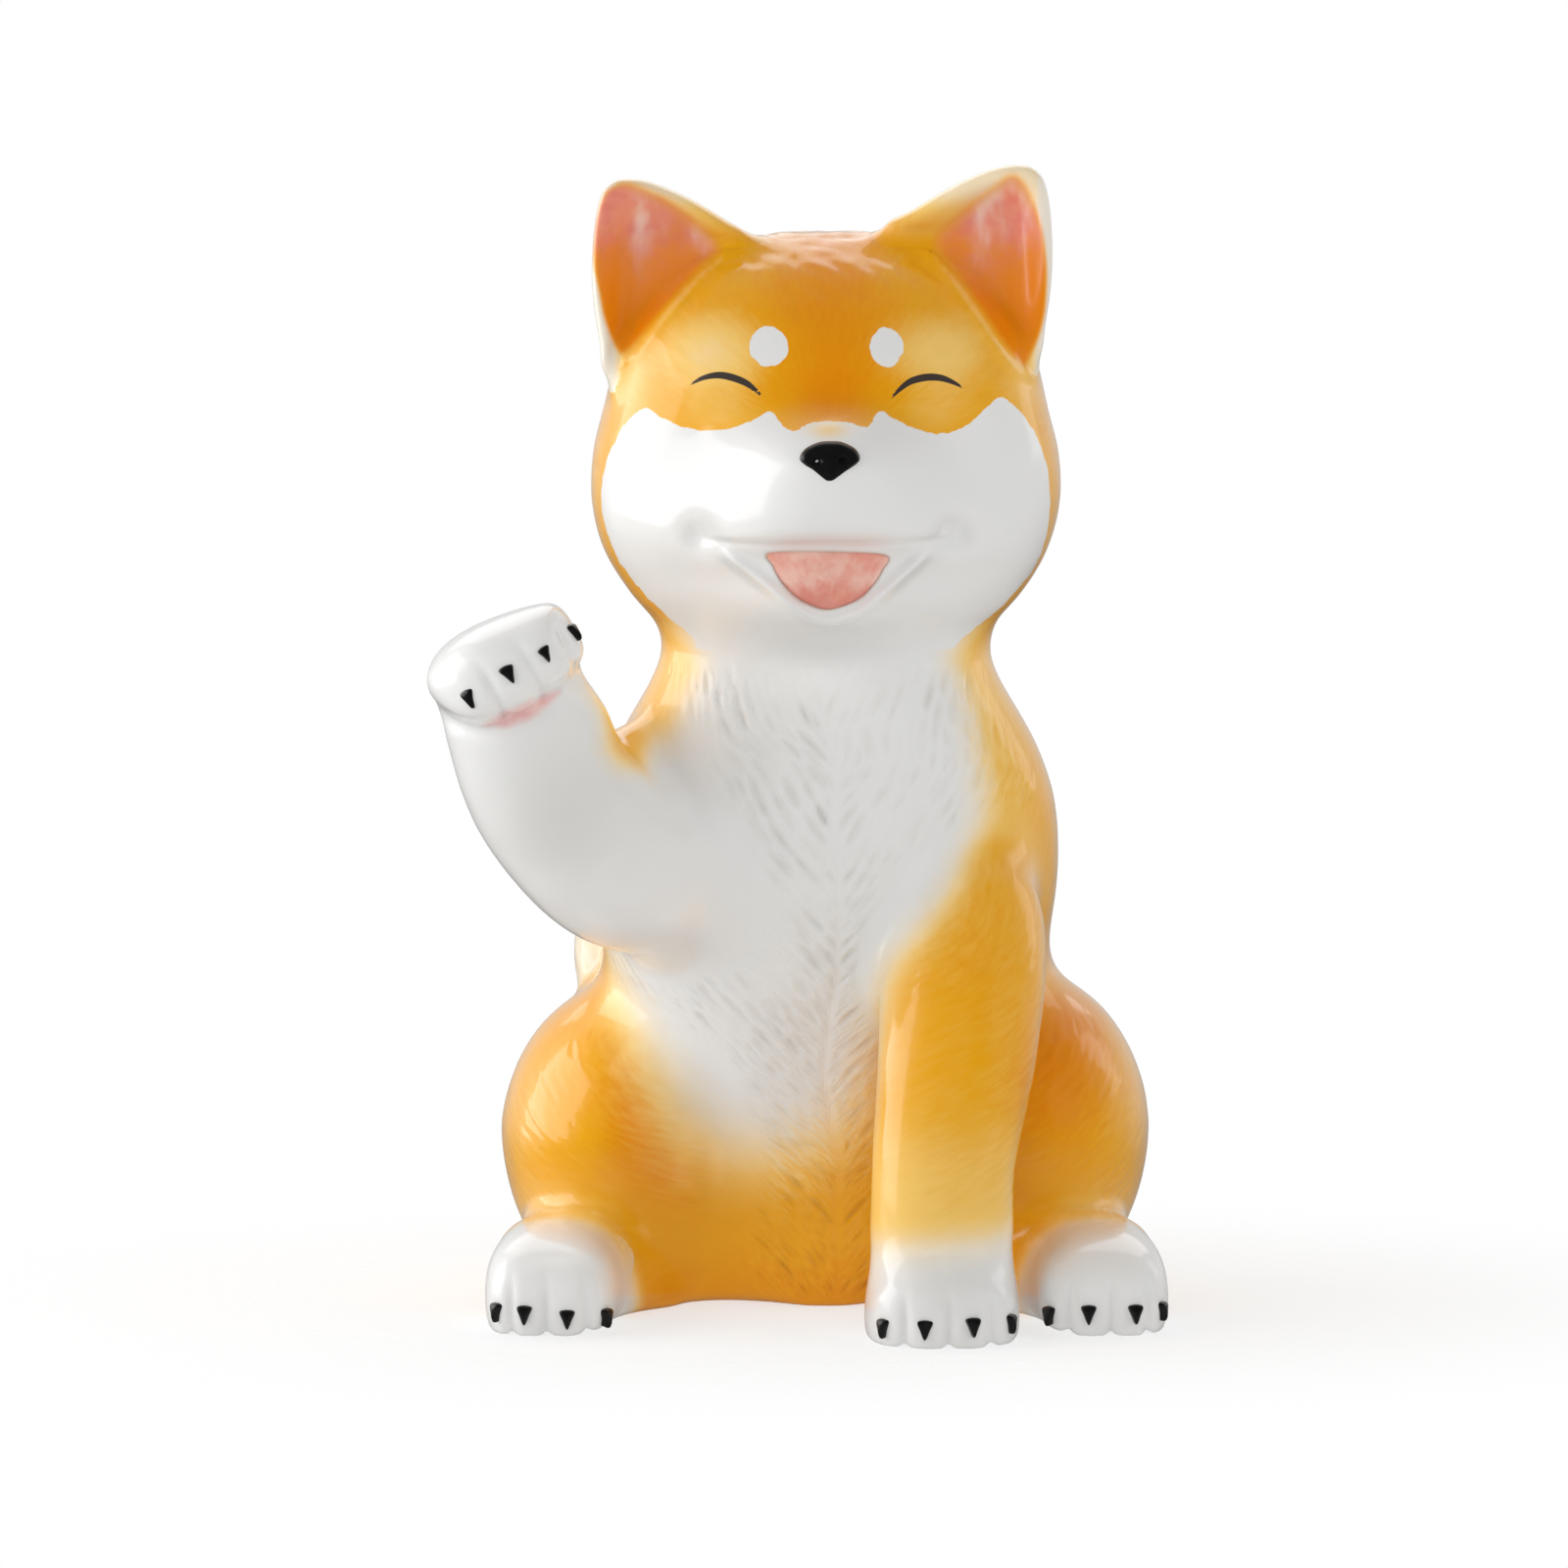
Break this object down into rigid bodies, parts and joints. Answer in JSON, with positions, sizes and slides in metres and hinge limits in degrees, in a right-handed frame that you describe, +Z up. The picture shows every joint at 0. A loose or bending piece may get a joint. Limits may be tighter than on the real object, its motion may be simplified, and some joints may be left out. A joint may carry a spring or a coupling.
{
  "type": "dog ornament",
  "caption": "Glazed ceramic ornament of a sitting, laughing dog with one forepaw raised in greeting, for a shelf or table.",
  "frame": {"origin": "on the floor plane, in the dog's middle plane, on the flat base of the torso just behind its front hem", "axes": "+Z up, the dog looks along -Y, +X towards the dog's left"},
  "size_m": [0.1905, 0.1904, 0.298],
  "materials": {
    "orange_glaze": "airbrushed orange under a high-gloss clear glaze",
    "white_glaze": "white under a high-gloss clear glaze",
    "black_glaze": "black painted detail under a high-gloss clear glaze",
    "pink_glaze": "coral brush strokes under a high-gloss clear glaze",
    "cream_glaze": "pale yellow and cream under a high-gloss clear glaze"
  },
  "bodies": {
    "root": {"torso": "orange_glaze", "head": "orange_glaze", "left_ear": "orange_glaze", "right_ear": "orange_glaze", "nose": "black_glaze", "tongue": "pink_glaze", "raised_foreleg": "white_glaze", "raised_paw": "white_glaze", "raised_claws": "black_glaze", "standing_foreleg": "orange_glaze", "standing_paw": "white_glaze", "standing_claws": "black_glaze", "left_haunch": "orange_glaze", "right_haunch": "orange_glaze", "left_hind_paw": "white_glaze", "right_hind_paw": "white_glaze", "left_hind_claws": "black_glaze", "right_hind_claws": "black_glaze", "tail": "cream_glaze"}
  },
  "joints": []
}
